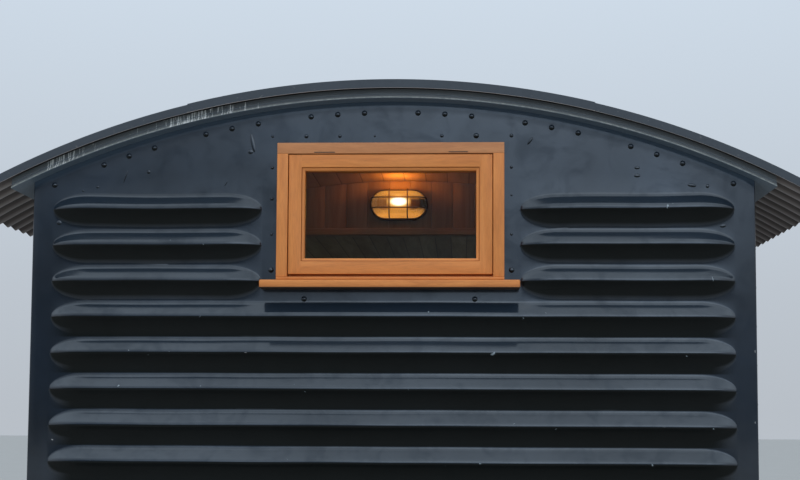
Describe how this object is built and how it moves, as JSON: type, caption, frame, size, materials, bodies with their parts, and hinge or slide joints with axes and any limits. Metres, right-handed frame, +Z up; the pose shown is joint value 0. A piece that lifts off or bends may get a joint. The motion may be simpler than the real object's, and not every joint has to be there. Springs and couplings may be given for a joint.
{
  "type": "railway car tiny house",
  "caption": "Grounded steel railway goods van as a tiny house: ribbed dark blue ends and sides, low arched corrugated roof, timber windows and doors, a lit caged lamp inside.",
  "frame": {"origin": "on the ground, under the middle of the body, at the bottom centre of its box", "axes": "X across the van, Y along it with the pictured end facing -Y, Z up"},
  "size_m": [2.957, 5.464, 2.7008],
  "materials": {
    "body_steel": "glossy dark slate blue paint, a little worn",
    "frame_steel": "dull black paint",
    "roof_edge_steel": "weathered grey paint worn to galvanised steel",
    "roof_sheet_steel": "matt dark grey coated corrugated sheet",
    "stained_timber": "orange brown stain, satin",
    "lining_timber": "sawn boards, clear oil",
    "sleeper_timber": "dark weathered timber",
    "window_glass": "clear",
    "lamp_glass": "lit warm glass",
    "lamp_metal": "dark painted casting"
  },
  "bodies": {
    "root": {"sleepers": "sleeper_timber", "solebars": "frame_steel", "headstocks": "frame_steel", "crossbearers": "frame_steel", "floor_deck": "lining_timber", "end_skin_front": "body_steel", "end_skin_rear": "body_steel", "side_skin_left_front": "body_steel", "side_skin_left_rear": "body_steel", "side_skin_right_front": "body_steel", "side_skin_right_rear": "body_steel", "door_headers": "body_steel", "body_posts": "frame_steel", "cantrails": "frame_steel", "end_lining_front": "lining_timber", "end_lining_rear": "lining_timber", "side_lining_left": "lining_timber", "side_lining_right": "lining_timber", "ceiling_lining": "lining_timber", "roof_hoops": "lining_timber", "roof_shell": "roof_edge_steel", "roof_edges": "roof_edge_steel", "roof_battens": "lining_timber", "roof_barges": "roof_sheet_steel", "roof_sheet_left": "roof_sheet_steel", "roof_sheet_centre": "roof_sheet_steel", "roof_sheet_right": "roof_sheet_steel", "window_frame_front": "stained_timber", "window_sash_front": "stained_timber", "window_glass_front": "window_glass", "window_sill_front": "stained_timber", "window_frame_rear": "stained_timber", "window_sash_rear": "stained_timber", "window_glass_rear": "window_glass", "window_sill_rear": "stained_timber", "door_frame_left": "stained_timber", "door_frame_right": "stained_timber", "door_leaves_left": "stained_timber", "door_leaves_right": "stained_timber", "door_glass_left": "window_glass", "door_glass_right": "window_glass", "partition": "lining_timber", "partition_rail": "lining_timber", "lamp_base": "lamp_metal", "lamp_glass": "lamp_glass", "lamp_guard": "lamp_metal"}
  },
  "joints": []
}
